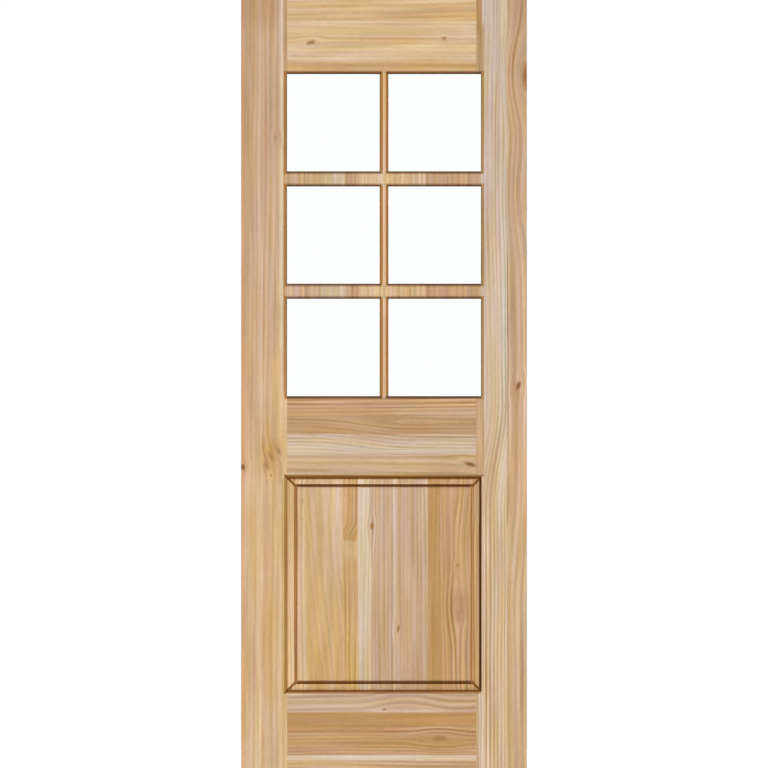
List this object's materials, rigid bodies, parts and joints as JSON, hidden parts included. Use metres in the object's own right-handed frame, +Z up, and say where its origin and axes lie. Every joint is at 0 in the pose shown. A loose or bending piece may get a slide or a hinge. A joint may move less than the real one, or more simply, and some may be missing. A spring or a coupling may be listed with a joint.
{
  "type": "glazed wooden exterior door leaf",
  "caption": "Stile-and-rail pine exterior door leaf with a grid of glazed lites in moulded bars above the lock rail and a raised panel below it, undrilled for hinges or a lock.",
  "frame": {"origin": "middle of the bottom edge, at the middle of the thickness", "axes": "+Z up the door, +X across it to the right as seen from the front, -Y out of the front face"},
  "size_m": [0.755, 0.0446, 2.032],
  "materials": {
    "stile_wood": "planed bare pine with upright grain",
    "rail_wood": "planed bare pine with level grain",
    "bar_wood": "planed bare pine",
    "panel_wood": "planed bare pine in glued upright staves",
    "bead_wood": "planed bare pine",
    "dowel_wood": "turned beech",
    "pane_glass": "clear float glass",
    "bedding_tape": "matt foam tape",
    "setting_block_rubber": "matt rubber"
  },
  "bodies": {
    "root": {"left_stile": "stile_wood", "right_stile": "stile_wood", "top_rail": "rail_wood", "lock_rail": "rail_wood", "bottom_rail": "rail_wood", "upper_cross_bar": "bar_wood", "lower_cross_bar": "bar_wood", "top_mullion": "bar_wood", "middle_mullion": "bar_wood", "bottom_mullion": "bar_wood", "raised_panel": "panel_wood", "bead_top_left_upper": "bead_wood", "bead_top_left_lower": "bead_wood", "bead_top_left_left": "bead_wood", "bead_top_left_right": "bead_wood", "bead_top_right_upper": "bead_wood", "bead_top_right_lower": "bead_wood", "bead_top_right_left": "bead_wood", "bead_top_right_right": "bead_wood", "bead_middle_left_upper": "bead_wood", "bead_middle_left_lower": "bead_wood", "bead_middle_left_left": "bead_wood", "bead_middle_left_right": "bead_wood", "bead_middle_right_upper": "bead_wood", "bead_middle_right_lower": "bead_wood", "bead_middle_right_left": "bead_wood", "bead_middle_right_right": "bead_wood", "bead_bottom_left_upper": "bead_wood", "bead_bottom_left_lower": "bead_wood", "bead_bottom_left_left": "bead_wood", "bead_bottom_left_right": "bead_wood", "bead_bottom_right_upper": "bead_wood", "bead_bottom_right_lower": "bead_wood", "bead_bottom_right_left": "bead_wood", "bead_bottom_right_right": "bead_wood", "top_rail_dowels": "dowel_wood", "lock_rail_dowels": "dowel_wood", "bottom_rail_dowels": "dowel_wood", "cross_bar_dowels": "dowel_wood", "mullion_dowels": "dowel_wood", "glass_top_left": "pane_glass", "glass_top_right": "pane_glass", "glass_middle_left": "pane_glass", "glass_middle_right": "pane_glass", "glass_bottom_left": "pane_glass", "glass_bottom_right": "pane_glass", "tape_top_left": "bedding_tape", "tape_top_right": "bedding_tape", "tape_middle_left": "bedding_tape", "tape_middle_right": "bedding_tape", "tape_bottom_left": "bedding_tape", "tape_bottom_right": "bedding_tape", "setting_blocks": "setting_block_rubber"}
  },
  "joints": []
}
